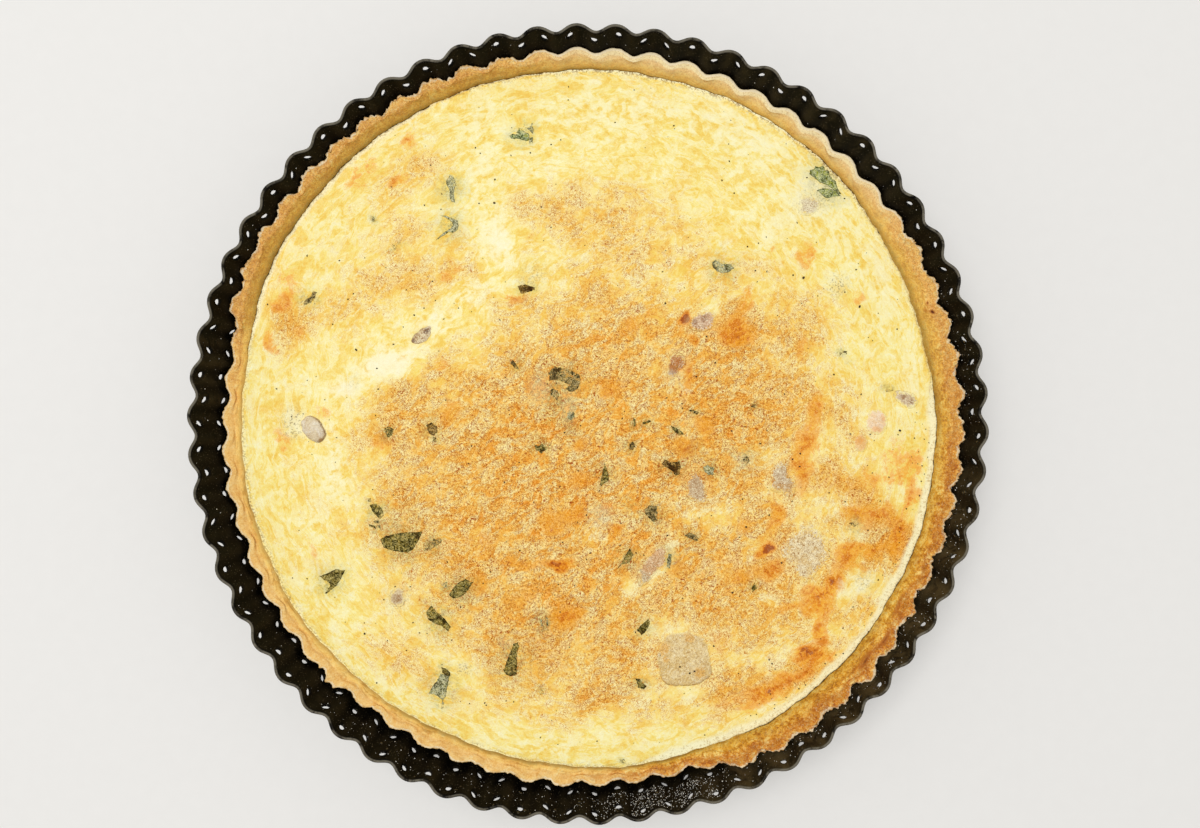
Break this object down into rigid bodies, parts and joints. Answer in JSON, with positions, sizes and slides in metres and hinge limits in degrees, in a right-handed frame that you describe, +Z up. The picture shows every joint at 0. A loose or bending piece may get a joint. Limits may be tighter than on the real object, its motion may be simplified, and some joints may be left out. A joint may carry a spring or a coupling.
{
  "type": "seafood quiche",
  "caption": "Large round seafood quiche in its own dark fluted tart tin, with a crimped pastry crust, browned egg custard and pieces of scallop, prawn, mussel and fish at the top.",
  "frame": {"origin": "on the ground under the middle of the tin's base", "axes": "+Z up, +Y towards the back, the scallop lying towards -Y"},
  "size_m": [0.2796, 0.2794, 0.035],
  "materials": {
    "tin": "dark non-stick coating on steel, semi-gloss",
    "crust": "baked shortcrust pastry, crumbly and matt, golden to light tan",
    "custard": "baked egg custard, pale yellow with orange-brown browned skin, slightly moist",
    "white_fish": "cooked white fish and scallop, cream to pale grey, slightly moist",
    "shellfish": "cooked prawn and mussel, pinkish cream",
    "herb": "cooked parsley, dark green, moist",
    "pepper": "ground black pepper"
  },
  "bodies": {
    "root": {"tin": "tin", "crust": "crust", "custard": "custard", "scallop": "white_fish", "mussel": "shellfish", "fish_patch": "white_fish", "fish_upper": "white_fish", "fish_browned": "white_fish", "fish_middle": "white_fish", "fish_right": "white_fish", "prawn_strip": "shellfish", "fish_edge": "white_fish", "prawn_pink": "shellfish", "prawn_orange": "shellfish", "fish_top": "white_fish", "fish_left": "white_fish", "fish_corner": "white_fish"}
  },
  "joints": []
}
